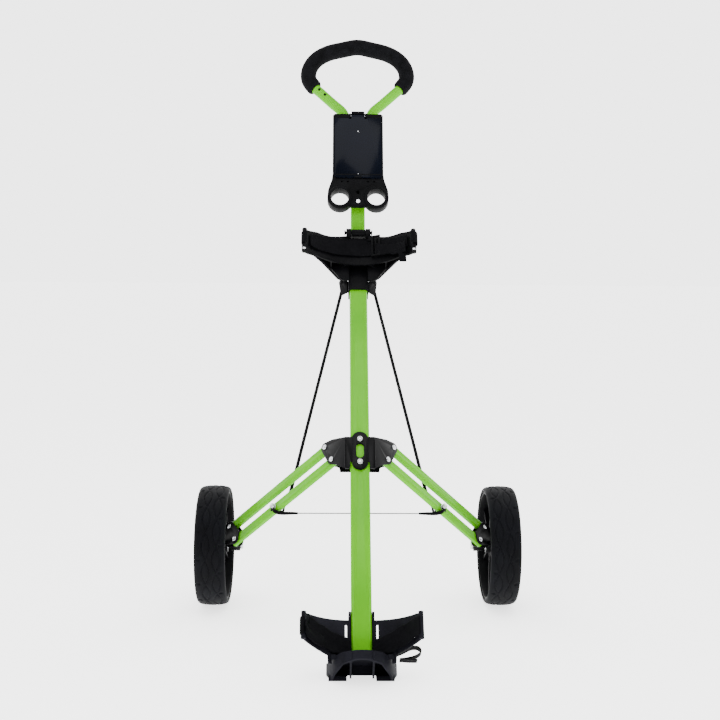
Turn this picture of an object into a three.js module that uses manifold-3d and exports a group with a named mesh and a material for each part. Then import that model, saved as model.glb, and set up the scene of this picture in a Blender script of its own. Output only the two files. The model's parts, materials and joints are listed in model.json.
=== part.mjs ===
// Two-wheeled golf push trolley with folding wheel arms and a folding handle.
//
// Millimetres, +Z up, the bag side faces -Y and the wheels stand behind it.
// Most pieces are drawn in the main tube's own frame: x across, y behind the tube,
// z along the tube from the toe plate up. That frame leans back by LEAN.
// Right-hand pieces are drawn once and mirrored for the left.

import * as THREE from 'three';
import { mergeVertices } from 'three/addons/utils/BufferGeometryUtils.js';
import Module from 'manifold-3d';

const wasm = await Module();
wasm.setup();

const degrees = THREE.MathUtils.degToRad;

// ---------------------------------------------------------------- driving dimensions

const LEAN = degrees(38.5);            // main tube, back from upright
const HANDLE_BEND = degrees(14.5);     // handle section, forward of the main tube
const GAP = 0.3;                       // between pieces that touch
const TUBE_FOOT = { y: 19, z: 16 };    // main tube's axis at the toe plate, from the heel's edge

const TUBE = { width: 36, depth: 28, wall: 1.6, corner: 6, bottom: 13, top: 812 };
const TOE = { top: 12, plate: 4, pad: 0.8, step: -5, nose: -55, lip: -2.5, notch: 1.2 };
const CRADLE_LOW = { radius: 115, front: -12, wall: 4, tip: 97 };
const CRADLE_HIGH = { radius: 136, front: -40, wall: 4, tip: 108 };
const PIN = { radius: 3, hole: 3.3, head: 5, headHeight: 1.8 };

// Wheel arms: a parallelogram of two struts on each side, in a plane turned ARM_YAW behind X.
const ARM_YAW = degrees(46.5);
const ARM_DROP = degrees(14.1);
const ARM_LENGTH = 287;
const UPPER_PIVOT = new THREE.Vector3(60, 30, 436);
const LOWER_PIVOT = new THREE.Vector3(47.4, 16.7, 403);
const STRUT = { height: 19, thickness: 11, wall: 1.5, corner: 3.5, overhang: 9 };
const ARM_PLATE = { inner: 6, outer: 8 };
const STAY_BOLT_AT = 0.58 * ARM_LENGTH;

const WHEEL = { radius: 120, width: 61, inner: 257.5, tyre: 12, rim: 3.5, hub: 15, bore: 6.3, spokes: 6 };
const AXLE = { radius: 6, y: 266.3, z: 344.7, from: 237, to: 320 };

const SLEEVE = { bottom: 781, top: 838.7, half: 20.5, depth: 18 };
const ROD = { radius: 2.9, topX: 29.5, topY: 20.4, topZ: 825, plane: 13.7, eye: 6.5 };

const HINGE = { y: -46, z: 905 };      // handle hinge pin, in the main tube's frame
const SECTION = { y: -30, z: 912 };    // origin of the handle section's frame, in the same frame
const EYE = { y: -17.24, z: -2.77, radius: 7, half: 14.7 };  // the same pin, in the section's frame
const UPPER_TUBE = { width: 30, depth: 22, wall: 1.4, corner: 5, y: 30, bottom: 2.2, top: 302 };
const LOOP = { radius: 11, wall: 1.5, steps: 36, gripSteps: 20 };
const GRIP = { radius: 17.3 };
const CONSOLE = { half: 54, bottom: 66, top: 288, front: -2, back: 18.7, ringX: 38.4, ringZ: 86.5 };
const LID = { half: 50.5, bottom: 132, top: 279, back: -2.6, front: -5.4 };

const GREEN = new THREE.MeshStandardMaterial({ color: 0x86bf2b, roughness: 0.35, metalness: 0.1 });
const BLACK = new THREE.MeshStandardMaterial({ color: 0x16161a, roughness: 0.55, metalness: 0.0 });
const BLACK_STEEL = new THREE.MeshStandardMaterial({ color: 0x111114, roughness: 0.4, metalness: 0.5 });
const STEEL = new THREE.MeshStandardMaterial({ color: 0xc8cacc, roughness: 0.25, metalness: 0.9 });
const RUBBER = new THREE.MeshStandardMaterial({ color: 0x1b1c1f, roughness: 0.85, metalness: 0.0 });
const FOAM = new THREE.MeshStandardMaterial({ color: 0x17171a, roughness: 0.95, metalness: 0.0 });
const WEBBING = new THREE.MeshStandardMaterial({ color: 0x0d0d0f, roughness: 0.9, metalness: 0.0 });
const SMOKED = new THREE.MeshStandardMaterial({ color: 0x10131c, roughness: 0.15, metalness: 0.0 });

// ---------------------------------------------------------------- solids and shapes

function solid(geometry) {
  const bare = geometry.clone();
  bare.deleteAttribute('normal');
  bare.deleteAttribute('uv');
  const merged = mergeVertices(bare, 1e-4);
  return new wasm.Manifold(new wasm.Mesh({
    numProp: 3,
    vertProperties: merged.attributes.position.array,
    triVerts: new Uint32Array(merged.index.array),
  }));
}

function geometryOf(body) {
  const { vertProperties, triVerts } = body.getMesh();
  const geometry = new THREE.BufferGeometry();
  geometry.setAttribute('position', new THREE.BufferAttribute(vertProperties, 3));
  geometry.setIndex(new THREE.BufferAttribute(triVerts, 1));
  geometry.computeVertexNormals();
  return geometry;
}

function mirrored(geometry) {
  const copy = geometry.clone();
  copy.scale(-1, 1, 1);
  const index = copy.index.array;
  for (let i = 0; i < index.length; i += 3) {
    [index[i + 1], index[i + 2]] = [index[i + 2], index[i + 1]];
  }
  copy.computeVertexNormals();
  return copy;
}

function joined(...bodies) {
  return bodies.reduce((sum, body) => sum.add(body));
}

function box(x0, x1, y0, y1, z0, z1) {
  const geometry = new THREE.BoxGeometry(x1 - x0, y1 - y0, z1 - z0);
  return geometry.translate((x0 + x1) / 2, (y0 + y1) / 2, (z0 + z1) / 2);
}

// A prism of a plan-view outline, along z.
function upright(shape, z0, z1, curveSegments = 8) {
  const geometry = new THREE.ExtrudeGeometry(shape, { depth: z1 - z0, bevelEnabled: false, curveSegments });
  return geometry.translate(0, 0, z0);
}

// A prism of a front-view outline (x across, y up), from y0 to y1 in depth.
function facing(shape, y0, y1, curveSegments = 8) {
  return upright(shape, -y1, -y0, curveSegments).rotateX(Math.PI / 2);
}

// A prism of a side-view outline (x of the outline runs along y, y of it along z).
function sideways(shape, x0, x1, curveSegments = 8) {
  const geometry = upright(shape, x0, x1, curveSegments);
  return geometry.rotateX(Math.PI / 2).rotateZ(Math.PI / 2);
}

function polygon(points) {
  return new THREE.Shape(points.map(([x, y]) => new THREE.Vector2(x, y)));
}

function roundedRect(width, height, radius) {
  const x = width / 2 - radius;
  const y = height / 2 - radius;
  const shape = new THREE.Shape();
  shape.absarc(x, y, radius, 0, Math.PI / 2);
  shape.absarc(-x, y, radius, Math.PI / 2, Math.PI);
  shape.absarc(-x, -y, radius, Math.PI, 1.5 * Math.PI);
  shape.absarc(x, -y, radius, 1.5 * Math.PI, 2 * Math.PI);
  return shape;
}

function tubeSection(width, height, radius, wall) {
  const shape = roundedRect(width, height, radius);
  shape.holes.push(roundedRect(width - 2 * wall, height - 2 * wall, radius - wall));
  return shape;
}

function disc(radius, innerRadius = 0) {
  const shape = new THREE.Shape().absarc(0, 0, radius, 0, 2 * Math.PI);
  if (innerRadius) shape.holes.push(new THREE.Path().absarc(0, 0, innerRadius, 0, 2 * Math.PI));
  return shape;
}

function alongX(radius, x0, x1, y, z, sides = 12) {
  const geometry = new THREE.CylinderGeometry(radius, radius, x1 - x0, sides);
  return geometry.rotateZ(Math.PI / 2).translate((x0 + x1) / 2, y, z);
}

function alongY(radius, x, y0, y1, z, sides = 12) {
  return new THREE.CylinderGeometry(radius, radius, y1 - y0, sides).translate(x, (y0 + y1) / 2, z);
}

// Part of a ring in plan view: centred on the mid-plane, bulging away from the bag.
function arcBand(radius, front, wall, z0, z1) {
  const reach = 1.25;
  const shape = new THREE.Shape();
  shape.absarc(0, front - radius, radius + wall, Math.PI / 2 - reach, Math.PI / 2 + reach);
  shape.absarc(0, front - radius, radius, Math.PI / 2 + reach, Math.PI / 2 - reach, true);
  shape.closePath();
  return upright(shape, z0, z1, 9);
}

// ---------------------------------------------------------------- scene

const trolley = new THREE.Group();
const stance = new THREE.Group();
stance.position.set(0, TUBE_FOOT.y, TUBE_FOOT.z);
stance.rotation.x = -LEAN;
trolley.add(stance);

const handle = new THREE.Group();
handle.position.set(0, SECTION.y, SECTION.z);
handle.rotation.x = HANDLE_BEND;
stance.add(handle);

function piece(name, body, material, group = stance) {
  const mesh = new THREE.Mesh(geometryOf(body), material);
  mesh.name = name;
  group.add(mesh);
}

function pair(name, body, material) {
  const geometry = geometryOf(body);
  for (const [side, shape] of [['right', geometry], ['left', mirrored(geometry)]]) {
    const mesh = new THREE.Mesh(shape, material);
    mesh.name = `${side}_${name}`;
    stance.add(mesh);
  }
}

// ---------------------------------------------------------------- main tube

const BRACKET_SCREWS = [382, 430];
const CRADLE_SCREWS = [28, 70];

function mainTube() {
  const section = tubeSection(TUBE.width, TUBE.depth, TUBE.corner, TUBE.wall);
  let tube = solid(upright(section, TUBE.bottom, TUBE.top, 3));
  for (const z of BRACKET_SCREWS) {
    tube = tube.subtract(solid(alongY(PIN.hole, 0, -20, 20, z)));
  }
  for (const z of CRADLE_SCREWS) {
    tube = tube.subtract(solid(alongY(PIN.hole, 0, 5, 20, z)));
  }
  piece('main_tube', tube, GREEN);

  const inset = TUBE.wall + GAP;
  const plugBody = roundedRect(TUBE.width - 2 * inset, TUBE.depth - 2 * inset, TUBE.corner - inset);
  const plug = joined(
    solid(upright(plugBody, TUBE.top - 12, TUBE.top + GAP + 1, 3)),
    solid(upright(roundedRect(TUBE.width, TUBE.depth, TUBE.corner), TUBE.top + GAP, TUBE.top + GAP + 2, 3)),
  );
  piece('tube_top_plug', plug, BLACK);
}

// ---------------------------------------------------------------- toe and lower cradle

const FLOOR_SLOPE = Math.tan(LEAN);
const FLOOR_AT_TUBE = -TUBE_FOOT.z / Math.cos(LEAN);

function floorAt(y) {
  return FLOOR_AT_TUBE + y * FLOOR_SLOPE;
}

// The plan outline's right-hand half, outside and inside the skirt.
const TOE_OUTSIDE = [[60, 16], [57, 8], [48, -20], [33, -44], [11, -54], [0, TOE.nose]];
const TOE_INSIDE = [[56.2, 12.5], [53.6, 7], [44.8, -18.6], [31, -41.2], [10.3, -50.4], [0, -51.3]];

function twoSided(half) {
  const other = half.slice(0, -1).reverse().map(([x, y]) => [-x, y]);
  return polygon([...half, ...other]);
}

// The raised pad that the bag stands on, clear of the strap and the lower cradle.
function restPad() {
  const height = TOE.pad + 1;
  const reach = CRADLE_LOW.radius - 11;
  const clear = new THREE.CylinderGeometry(reach, reach, 20, 48).rotateX(Math.PI / 2);
  clear.translate(0, CRADLE_LOW.front - CRADLE_LOW.radius + 1, TOE.top);
  return solid(upright(twoSided(TOE_INSIDE), TOE.top - 1, TOE.top - 1 + height)).intersect(solid(clear));
}

function toe() {
  const under = TOE.top - TOE.plate;
  let body = solid(upright(twoSided(TOE_OUTSIDE), -60, TOE.top));
  body = body.subtract(solid(upright(twoSided(TOE_INSIDE), -61, under)));

  const step = TOE.step;
  const rib = polygon([[-52.5, under + 1], [-52.5, -2], [step, -20], [13, -6], [13, under + 1]]);
  const footPad = polygon([
    [step, floorAt(step)], [14, floorAt(14)], [14, floorAt(14) + 9], [step, floorAt(step) + 9],
  ]);
  for (const side of [-1, 1]) {
    body = body.add(solid(sideways(rib, side * 19 - 1.5, side * 19 + 1.5)));
    body = body.add(solid(sideways(footPad, side * 40 - 16, side * 40 + 14.5)));
  }

  const below = polygon([
    [TOE.nose - 20, TOE.lip + 8.76], [step, floorAt(step)], [60, floorAt(60)],
    [60, -120], [TOE.nose - 20, -120],
  ]);
  const notch = polygon([
    [step - 5, floorAt(step - 5) - 9], [30, floorAt(30) - 9],
    [30, floorAt(30) + TOE.notch], [step - 5, floorAt(step - 5) + TOE.notch],
  ]);
  body = body.subtract(solid(sideways(below, -90, 90)));
  body = body.subtract(solid(sideways(notch, -23.5, 23.5)));
  piece('base_toe', body.add(restPad()), BLACK);
}

function lowerCradle() {
  const side = TUBE.width / 2 + GAP;
  const back = TUBE.depth / 2 + GAP;
  const channel = polygon([
    [-side - 4, -12.5], [-side, -12.5], [-side, back], [side, back], [side, -12.5], [side + 4, -12.5],
    [side + 4, back + 4], [-side - 4, back + 4],
  ]);
  const foot = TOE.top + GAP;
  const wing = polygon([
    [20, foot], [50.5, foot], [50.5, -4], [57, -4], [58, 13], [CRADLE_LOW.tip, 27],
    [CRADLE_LOW.tip + 1, 72], [90, 74], [20, 78],
  ]);
  const band = solid(arcBand(CRADLE_LOW.radius, CRADLE_LOW.front, CRADLE_LOW.wall, 0, 90));
  let wingBody = band.intersect(solid(facing(wing, -120, 20)));
  wingBody = wingBody.add(solid(new THREE.CylinderGeometry(4.2, 4.2, 47, 12)
    .rotateX(Math.PI / 2).translate(CRADLE_LOW.tip + 0.5, -66.5, 50)));
  wingBody = wingBody.subtract(solid(box(25, 28.2, -40, 10, 44, 70)));
  wingBody = wingBody.subtract(solid(box(84, 87.5, -90, -30, 33, 66)));
  const right = geometryOf(wingBody);
  let body = solid(upright(channel, foot, 94));
  body = joined(body, solid(right), solid(mirrored(right)));
  for (const z of CRADLE_SCREWS) {
    body = body.subtract(solid(alongY(PIN.hole, 0, 5, 40, z)));
  }
  piece('lower_cradle', body, BLACK);

  CRADLE_SCREWS.forEach((z, i) => {
    const screw = joined(
      solid(alongY(PIN.radius, 0, 9, 20, z)),
      solid(alongY(PIN.head, 0, back + 4 + GAP, back + 4 + GAP + 3, z)),
    );
    piece(`cradle_screw_${i + 1}`, screw, STEEL);
  });
}

function lowerStrap() {
  const outline = polygon([
    [-91, 30], [-60, 19], [-30, 14], [30, 14], [60, 19], [91, 30],
    [91, 64], [55, 46], [28, 36], [-28, 36], [-55, 46], [-91, 64],
  ]);
  const band = solid(arcBand(109, -17, 2, 0, 80));
  piece('lower_strap', band.intersect(solid(facing(outline, -120, 0))), WEBBING);
}

// ---------------------------------------------------------------- wheel arms

// Moves a body from the arm plane (x outward, y behind the plane, z up the tube) to the tube's frame.
function onArm(geometry, pivot = UPPER_PIVOT) {
  return geometry.rotateZ(ARM_YAW).translate(pivot.x, pivot.y, pivot.z);
}

const PIVOT_STEP = (() => {
  const step = LOWER_PIVOT.clone().sub(UPPER_PIVOT);
  return { out: step.x * Math.cos(ARM_YAW) + step.y * Math.sin(ARM_YAW), up: step.z };
})();
const KNUCKLE_AT = { out: ARM_LENGTH * Math.cos(ARM_DROP), up: -ARM_LENGTH * Math.sin(ARM_DROP) };

function rivet(out, up, front, back) {
  const { radius, head, headHeight } = PIN;
  const profile = [
    [0, front - headHeight], [head * 0.6, front - headHeight], [head, front - 0.5], [head, front],
    [radius, front], [radius, back], [head, back], [head, back + 0.5],
    [head * 0.6, back + headHeight], [0, back + headHeight],
  ];
  const turned = new THREE.LatheGeometry(profile.map(([r, y]) => new THREE.Vector2(r, y)), 10);
  return solid(onArm(turned.translate(out, 0, up)));
}

function pinHole(out, up) {
  return solid(onArm(alongY(PIN.hole, out, -40, 40, up)));
}

function wingOutline(inner, innerTop, innerBottom) {
  const shape = new THREE.Shape();
  shape.moveTo(inner, innerTop);
  shape.lineTo(-20, 9);
  shape.absarc(0, 0, 10, degrees(100), degrees(-30), true);
  shape.absarc(PIVOT_STEP.out, PIVOT_STEP.up, 10, degrees(-30), degrees(-80), true);
  shape.lineTo(Math.max(PIVOT_STEP.out - 14, inner + 2), -50);
  shape.lineTo(inner, innerBottom);
  shape.closePath();
  return shape;
}

function armBrackets() {
  const frontFace = -TUBE.depth / 2 - GAP;
  const slot = new THREE.Shape();
  slot.absarc(0, 406 + 8, 7.2, 0, Math.PI);
  slot.absarc(0, 406 - 8, 7.2, Math.PI, 2 * Math.PI);
  const face = new THREE.Shape();
  face.absarc(0, 446 - 15, 15, 0, Math.PI);
  face.absarc(0, 366 + 15, 15, Math.PI, 2 * Math.PI);
  const { inner, outer } = ARM_PLATE;

  const frontOutline = wingOutline(-55.7, 0, -67);
  const frontWing = geometryOf(solid(onArm(facing(frontOutline, -outer, -inner, 3))));
  const betweenWings = solid(box(-18.4, 18.4, frontFace - 5, frontFace + 1, 360, 383));
  let front = joined(
    solid(box(-27.4, 27.4, frontFace - 2, frontFace, 369, 436)).subtract(betweenWings),
    solid(facing(face, frontFace - 3.6, frontFace - 1, 8)),
    solid(frontWing), solid(mirrored(frontWing)),
  );
  front = front.subtract(solid(facing(slot, -40, 0, 8)));

  const backFace = TUBE.depth / 2 + GAP;
  const rearOutline = wingOutline(-27.5, 8, -58);
  const rearWing = geometryOf(solid(onArm(facing(rearOutline, inner, outer, 3))));
  let rear = joined(
    solid(box(-37, 37, backFace, backFace + 2, 378, 444)),
    solid(rearWing), solid(mirrored(rearWing)),
  );

  for (const [out, up] of [[0, 0], [PIVOT_STEP.out, PIVOT_STEP.up]]) {
    const hole = geometryOf(pinHole(out, up));
    for (const cut of [solid(hole), solid(mirrored(hole))]) {
      front = front.subtract(cut);
      rear = rear.subtract(cut);
    }
  }
  for (const z of BRACKET_SCREWS) {
    front = front.subtract(solid(alongY(PIN.hole, 0, -40, 0, z)));
    rear = rear.subtract(solid(alongY(PIN.hole, 0, 0, 40, z)));
  }
  piece('strut_bracket_front', front, BLACK_STEEL);
  piece('strut_bracket_rear', rear, BLACK_STEEL);

  const clearPlate = outer + GAP;
  pair('upper_inner_pin', rivet(0, 0, -clearPlate, clearPlate), STEEL);
  pair('lower_inner_pin', rivet(PIVOT_STEP.out, PIVOT_STEP.up, -clearPlate, clearPlate), STEEL);

  ['lower', 'upper'].forEach((place, i) => {
    const z = BRACKET_SCREWS[i];
    const headFace = frontFace - 3.6 - GAP;
    const screw = joined(
      solid(alongY(PIN.radius, 0, headFace - 1, backFace + 8, z)),
      solid(alongY(5.2, 0, headFace - 2.6, headFace, z)),
      solid(alongY(5.4, 0, backFace + 2 + GAP, backFace + 6.5, z, 6)),
    );
    piece(`bracket_screw_${place}`, screw, STEEL);
  });
}

function strut(startOut, startUp) {
  const section = tubeSection(STRUT.height, STRUT.thickness, STRUT.corner, STRUT.wall);
  const bar = upright(section, -STRUT.overhang, ARM_LENGTH + STRUT.overhang, 3);
  let body = solid(bar.rotateY(Math.PI / 2).rotateY(ARM_DROP));
  for (const at of [0, ARM_LENGTH]) {
    const out = at * Math.cos(ARM_DROP);
    const up = -at * Math.sin(ARM_DROP);
    body = body.subtract(solid(alongY(PIN.hole, out, -20, 20, up)));
  }
  return geometryOf(body).translate(startOut, 0, startUp);
}

function struts() {
  pair('upper_strut', solid(onArm(strut(0, 0))), GREEN);

  const boltOut = PIVOT_STEP.out + STAY_BOLT_AT * Math.cos(ARM_DROP);
  const boltUp = PIVOT_STEP.up - STAY_BOLT_AT * Math.sin(ARM_DROP);
  const lower = solid(onArm(strut(PIVOT_STEP.out, PIVOT_STEP.up))).subtract(pinHole(boltOut, boltUp));
  pair('lower_strut', lower, GREEN);

  const half = STRUT.thickness / 2 + GAP;
  const bolt = joined(
    solid(onArm(alongY(PIN.radius, boltOut, -half - 6, half + 1, boltUp))),
    solid(onArm(alongY(5, boltOut, -half - 9, -half - 5.2, boltUp))),
    solid(onArm(alongY(4.6, boltOut, -half - 1.5, -half, boltUp))),
    solid(onArm(alongY(5, boltOut, half, half + 2.5, boltUp, 6))),
  );
  pair('stay_bolt', bolt, STEEL);
}

// The stay cable holds the lower struts together; it runs below them and behind the main tube.
function stayCable() {
  const end = [
    [165.3, 127.1, 355.3], [163.5, 125.5, 351.5], [156, 127, 348.4], [146, 128, 347.8], [131, 128, 347.8],
  ];
  const right = end.map(([x, y, z]) => new THREE.Vector3(x, y, z));
  const left = right.map((point) => new THREE.Vector3(-point.x, point.y, point.z)).reverse();
  const wirePath = new THREE.CatmullRomCurve3([...right, ...left], false, 'centripetal');
  const wire = new THREE.ExtrudeGeometry(disc(1.2), {
    steps: 22, curveSegments: 3, extrudePath: wirePath,
  });
  const sleevePath = new THREE.CatmullRomCurve3(right, false, 'centripetal');
  const sleeve = new THREE.ExtrudeGeometry(disc(2.6), {
    steps: 5, curveSegments: 4, extrudePath: sleevePath,
  });
  const sleeveBody = geometryOf(solid(sleeve));
  piece('stay_cable', joined(solid(wire), solid(sleeveBody), solid(mirrored(sleeveBody))), BLACK_STEEL);
}

// ---------------------------------------------------------------- knuckles and wheels

function knuckleOutline() {
  const lowOut = KNUCKLE_AT.out + PIVOT_STEP.out;
  const lowUp = KNUCKLE_AT.up + PIVOT_STEP.up;
  const shape = new THREE.Shape();
  shape.absarc(KNUCKLE_AT.out, KNUCKLE_AT.up, 11, degrees(60), degrees(150));
  shape.lineTo(lowOut - 13, lowUp + 12);
  shape.absarc(lowOut, lowUp, 11, degrees(170), degrees(290));
  shape.lineTo(KNUCKLE_AT.out + 17, lowUp - 2);
  shape.lineTo(KNUCKLE_AT.out + 17, KNUCKLE_AT.up + 4);
  shape.closePath();
  return shape;
}

function knuckle() {
  const { inner, outer } = ARM_PLATE;
  const outline = knuckleOutline();
  const webOut = KNUCKLE_AT.out + 15;
  const webLow = KNUCKLE_AT.up + PIVOT_STEP.up - 2;
  let body = joined(
    solid(onArm(facing(outline, -outer, -inner, 3))),
    solid(onArm(facing(outline, inner, outer, 3))),
    solid(onArm(box(webOut, webOut + 2, -outer, outer, webLow, KNUCKLE_AT.up + 3))),
    solid(box(AXLE.from + 1, AXLE.from + 15, 238, AXLE.y, AXLE.z - 10, AXLE.z + 10)),
    solid(alongX(12, AXLE.from, AXLE.from + 18, AXLE.y, AXLE.z, 20)),
  );
  body = body.subtract(solid(alongX(AXLE.radius + GAP, AXLE.from - 5, AXLE.from + 30, AXLE.y, AXLE.z, 20)));
  const low = [KNUCKLE_AT.out + PIVOT_STEP.out, KNUCKLE_AT.up + PIVOT_STEP.up];
  for (const [out, up] of [[KNUCKLE_AT.out, KNUCKLE_AT.up], low]) {
    body = body.subtract(pinHole(out, up));
    body = body.subtract(solid(onArm(box(out - 40, out + 14.5, -inner, inner, up - 40, up + 40))));
  }
  pair('knuckle', body, BLACK_STEEL);

  const clearPlate = outer + GAP;
  pair('knuckle_upper_pin', rivet(KNUCKLE_AT.out, KNUCKLE_AT.up, -clearPlate, clearPlate), STEEL);
  pair('knuckle_lower_pin', rivet(...low, -clearPlate, clearPlate), STEEL);

  const axle = joined(
    solid(alongX(AXLE.radius, AXLE.from - 2, AXLE.to, AXLE.y, AXLE.z, 20)),
    solid(alongX(9, AXLE.from - 6, AXLE.from - GAP, AXLE.y, AXLE.z, 6)),
  );
  pair('axle', axle, STEEL);
}

function turnedOnAxle(profile, sides) {
  const points = profile.map(([radius, x]) => new THREE.Vector2(radius, x));
  const turned = new THREE.LatheGeometry(points, sides);
  return solid(turned.rotateZ(-Math.PI / 2).translate(0, AXLE.y, AXLE.z));
}

function wheel() {
  const { radius, width, inner, tyre, rim, hub, bore } = WHEEL;
  const x0 = inner;
  const x1 = inner + width;
  const seat = radius - tyre;
  pair('tyre', turnedOnAxle([
    [seat, x0 + 2], [seat + 3, x0], [radius - 7, x0], [radius - 2, x0 + 4], [radius, x0 + 12],
    [radius, x1 - 12], [radius - 2, x1 - 4], [radius - 7, x1], [seat + 3, x1], [seat, x1 - 2],
    [seat, x0 + 2],
  ], 48), RUBBER);

  const outerRim = seat - GAP;
  const innerRim = outerRim - rim;
  let body = turnedOnAxle([
    [innerRim, x0 + 3], [outerRim, x0 + 3], [outerRim, x1 - 3], [innerRim, x1 - 3], [innerRim, x0 + 3],
  ], 32);
  body = body.add(turnedOnAxle([
    [bore + 3.3, x0 + 4], [hub, x0 + 4], [hub, x1 - 5], [bore + 3.3, x1 - 5], [bore + 3.3, x0 + 4],
  ], 24));
  for (let i = 0; i < WHEEL.spokes; i += 1) {
    const spoke = box(x0 + 28, x0 + 38, -9, 9, hub - 2, innerRim + 1);
    const web = box(x0 + 12, x1 - 12, -2, 2, hub - 2, innerRim + 1);
    const turn = LEAN + (2 * Math.PI * i) / WHEEL.spokes;
    for (const part of [spoke, web]) {
      body = body.add(solid(part.rotateX(turn).translate(0, AXLE.y, AXLE.z)));
    }
  }
  pair('rim', body, BLACK);

  pair('wheel_bush', turnedOnAxle([
    [bore, x0 + 4.5], [bore + 3, x0 + 4.5], [bore + 3, x1 - 5.5], [bore, x1 - 5.5], [bore, x0 + 4.5],
  ], 24), STEEL);
  pair('wheel_cap', turnedOnAxle([
    [0, x1 + 3], [8.5, x1 + 3], [8.5, x1 - 4.7], [14, x1 - 4.7], [14, x1 + 3], [10, x1 + 6], [0, x1 + 6],
  ], 24), BLACK);
}

// ---------------------------------------------------------------- sliding sleeve and rods

const ROD_TOP = (() => {
  const x = ROD.topX - UPPER_PIVOT.x;
  const y = ROD.topY - UPPER_PIVOT.y;
  return {
    out: x * Math.cos(ARM_YAW) + y * Math.sin(ARM_YAW),
    behind: y * Math.cos(ARM_YAW) - x * Math.sin(ARM_YAW),
    up: ROD.topZ - UPPER_PIVOT.z,
  };
})();

function sleeve() {
  const side = TUBE.width / 2 + GAP;
  const back = TUBE.depth / 2 + GAP;
  const { half, depth } = SLEEVE;
  const ring = polygon([[-half, -depth], [half, -depth], [half, depth], [-half, depth]]);
  ring.holes.push(roundedRect(2 * side, 2 * back, TUBE.corner));
  const earFront = ROD_TOP.behind - 7;
  const ear = new THREE.Shape();
  ear.moveTo(ROD_TOP.out - 17, 789 - UPPER_PIVOT.z);
  ear.lineTo(ROD_TOP.out + 2, 791 - UPPER_PIVOT.z);
  ear.absarc(ROD_TOP.out, ROD_TOP.up, 7.5, degrees(-20), degrees(150));
  ear.lineTo(ROD_TOP.out - 17, 817 - UPPER_PIVOT.z);
  ear.closePath();
  let rightEar = solid(onArm(facing(ear, earFront, earFront + 3.4, 5)));
  rightEar = rightEar.subtract(solid(box(-side, side, -back, back, 700, 900)));
  rightEar = rightEar.subtract(pinHole(ROD_TOP.out, ROD_TOP.up));
  const earGeometry = geometryOf(rightEar);
  let body = joined(
    solid(upright(ring, SLEEVE.bottom, SLEEVE.top, 3)),
    solid(earGeometry), solid(mirrored(earGeometry)),
  );
  for (const x of [-11.5, 8.5]) {
    body = body.add(solid(box(x, x + 3, SLEEVE.depth - 1, SLEEVE.depth + 13, 786, 806)));
  }
  body = body.subtract(solid(alongX(2.8, -20, 20, SLEEVE.depth + 7, 796, 12)));
  piece('upper_sleeve', body, BLACK);

  piece('lock_lever_pin', solid(alongX(2.5, -13, 13, SLEEVE.depth + 7, 796, 12)), STEEL);
  const cam = new THREE.Shape();
  cam.absarc(SLEEVE.depth + 7, 796, 6.2, degrees(-60), degrees(150));
  cam.lineTo(SLEEVE.depth + 2.4, 790);
  cam.lineTo(SLEEVE.depth + 5, 752);
  cam.lineTo(SLEEVE.depth + 10, 751);
  cam.closePath();
  let lever = solid(sideways(cam, -8, 8, 6));
  lever = lever.subtract(solid(alongX(2.8, -20, 20, SLEEVE.depth + 7, 796, 12)));
  piece('lock_lever', lever, BLACK);

  const eyeBack = ROD_TOP.behind + 3;
  pair('rod_pin', rivet(ROD_TOP.out, ROD_TOP.up, earFront - GAP, eyeBack + GAP), STEEL);
}

function rods() {
  const boltOut = PIVOT_STEP.out + STAY_BOLT_AT * Math.cos(ARM_DROP);
  const boltUp = PIVOT_STEP.up - STAY_BOLT_AT * Math.sin(ARM_DROP);
  const top = new THREE.Vector3(ROD_TOP.out, ROD_TOP.behind, ROD_TOP.up);
  const foot = new THREE.Vector3(boltOut, ROD.plane, boltUp);
  const knee = new THREE.Vector3(boltOut - 22, ROD.plane, boltUp + 26);
  const bar = (from, to) => new THREE.ExtrudeGeometry(disc(ROD.radius), {
    steps: 1, curveSegments: 4, extrudePath: new THREE.LineCurve3(from, to),
  });
  let body = joined(
    solid(bar(top.clone().lerp(knee, 0.01), knee)),
    solid(bar(knee, foot.clone().lerp(knee, 0.12))),
    solid(new THREE.SphereGeometry(ROD.radius, 8, 6).translate(knee.x, knee.y, knee.z)),
    solid(alongY(ROD.eye, top.x, top.y - 1.7, top.y + 1.7, top.z, 14)),
    solid(alongY(ROD.eye, foot.x, foot.y - 1.7, foot.y + 1.7, foot.z, 14)),
  );
  for (const end of [top, foot]) {
    body = body.subtract(solid(alongY(PIN.hole, end.x, end.y - 10, end.y + 10, end.z)));
  }
  pair('rod', solid(onArm(geometryOf(body))), BLACK_STEEL);
}

// ---------------------------------------------------------------- upper cradle

function crescent(inset) {
  const { radius, front, tip } = CRADLE_HIGH;
  const shape = new THREE.Shape();
  const backEdge = [[76, -46], [44, 8], [30, 20]];
  if (inset === 0) backEdge.unshift([tip + 2, -92]);
  const reach = Math.asin((tip - 5 * inset) / radius);
  shape.absarc(0, front - radius, radius + inset, Math.PI / 2 - reach, Math.PI / 2 + reach);
  for (const [x, y] of backEdge) shape.lineTo(-x + inset, y - inset);
  for (const [x, y] of backEdge.reverse()) shape.lineTo(x - inset, y - inset);
  shape.closePath();
  return shape;
}

// The tray's skirt hangs down in front of the sleeve's ears on one side.
function sideFlare(side) {
  const outline = [[19, 833], [19, 796], [30, 795], [38, 800], [46, 812], [56, 826], [62, 829], [62, 833]];
  return facing(polygon(outline.map(([x, z]) => [side * x, z])), -27.5, -24.3);
}

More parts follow.
